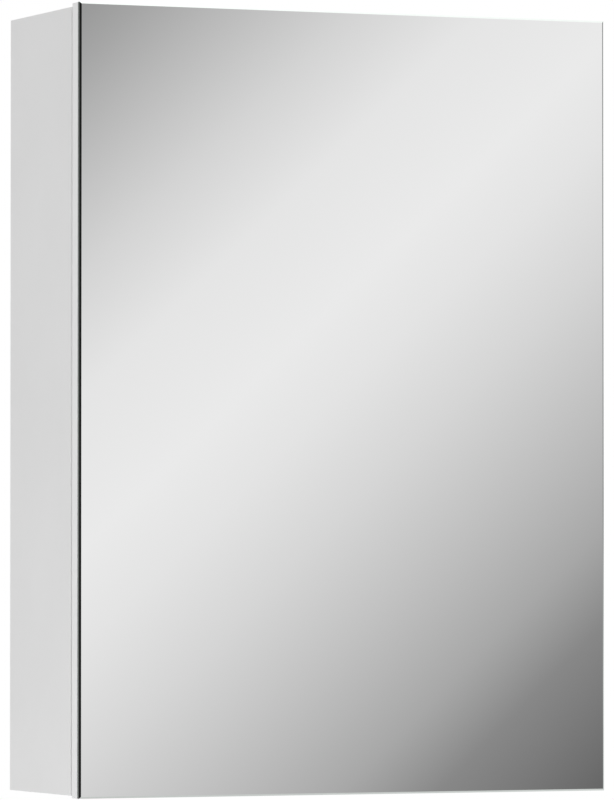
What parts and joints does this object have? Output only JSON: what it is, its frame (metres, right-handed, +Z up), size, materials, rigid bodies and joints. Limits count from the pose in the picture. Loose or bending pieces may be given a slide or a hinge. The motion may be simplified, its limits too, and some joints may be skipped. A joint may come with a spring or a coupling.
{
  "type": "mirror cabinet",
  "caption": "Wall-hung cabinet with a full mirror door on concealed cup hinges, glass shelves inside, hanging by hooks on a wall rail.",
  "frame": {"origin": "middle of the wall rail's slot line, on the wall plane", "axes": "+X to the viewer's right, +Y into the wall (the door faces -Y), +Z up"},
  "size_m": [0.5, 0.1705, 0.685],
  "materials": {
    "white_board": "white laminate on chipboard, fine satin grain",
    "edge_band": "white edge band, satin",
    "back_board": "white lacquered thin fibreboard",
    "mirror": "silvered float glass with a polished chamfer and dark green edge",
    "clear_glass": "clear float glass with polished green edges",
    "nickel": "nickel-plated steel",
    "zinc": "bright zinc-plated steel",
    "galvanised": "galvanised strip",
    "white_plastic": "white moulded plastic",
    "foam_tape": "dark mirror mounting tape",
    "clear_rubber": "clear soft bumper",
    "beech": "fluted beech dowel"
  },
  "bodies": {
    "carcass": {"back_panel": "back_board", "bottom_panel": "white_board", "cam_bolts": "zinc", "cam_caps": "white_plastic", "cam_locks": "zinc", "carcass_edge_bands": "edge_band", "hanger_body_left": "white_plastic", "hanger_body_right": "white_plastic", "hanger_cover_left": "white_plastic", "hanger_cover_right": "white_plastic", "hanger_screws_left": "zinc", "hanger_screws_right": "zinc", "hinge_lower_arm": "nickel", "hinge_lower_arm_pins": "zinc", "hinge_lower_arm_screws": "zinc", "hinge_lower_plate": "nickel", "hinge_lower_plate_screws": "zinc", "hinge_upper_arm": "nickel", "hinge_upper_arm_pins": "zinc", "hinge_upper_arm_screws": "zinc", "hinge_upper_plate": "nickel", "hinge_upper_plate_screws": "zinc", "shelf_lower": "clear_glass", "shelf_lower_pegs": "nickel", "shelf_upper": "clear_glass", "shelf_upper_pegs": "nickel", "side_panel_left": "white_board", "side_panel_right": "white_board", "top_panel": "white_board", "wall_rail": "galvanised", "wooden_dowels": "beech"},
    "outer_links": {"hinge_upper_outer_link": "nickel", "hinge_lower_outer_link": "nickel"},
    "inner_links": {"hinge_upper_inner_link": "zinc", "hinge_lower_inner_link": "zinc"},
    "door": {"door_panel": "white_board", "door_edge_bands": "edge_band", "mirror_tape": "foam_tape", "mirror_glass": "mirror", "door_bumpers": "clear_rubber", "hinge_upper_cup": "nickel", "hinge_upper_cup_pins": "zinc", "hinge_upper_cup_screws": "zinc", "hinge_lower_cup": "nickel", "hinge_lower_cup_pins": "zinc", "hinge_lower_cup_screws": "zinc"},
    "hook_left": {"hanger_hook_left": "galvanised"},
    "hook_right": {"hanger_hook_right": "galvanised"}
  },
  "joints": [
    {"name": "hinge_outer_links", "type": "hinge", "parent": "carcass", "child": "outer_links", "pos_m": [0.22, -0.142, -0.039], "axis": [0, 0, 1], "range_deg": [-40, 0]},
    {"name": "door_swing", "type": "hinge", "parent": "outer_links", "child": "door", "pos_m": [0.239, -0.1555, -0.039], "axis": [0, 0, 1], "range_deg": [0, 140]},
    {"name": "hinge_inner_links", "type": "hinge", "parent": "door", "child": "inner_links", "pos_m": [0.238, -0.1595, -0.039], "axis": [0, 0, 1], "range_deg": [-117.16, 0]},
    {"name": "hook_left_height", "type": "slide", "parent": "carcass", "child": "hook_left", "axis": [0, 0, 1], "range_m": [0, 0.006]},
    {"name": "hook_right_height", "type": "slide", "parent": "carcass", "child": "hook_right", "axis": [0, 0, 1], "range_m": [0, 0.006]}
  ],
  "couplings": [
    {"joint": "hinge_outer_links", "follows": "door_swing", "ratio": -0.28571},
    {"joint": "hinge_inner_links", "follows": "door_swing", "ratio": -0.83686}
  ]
}
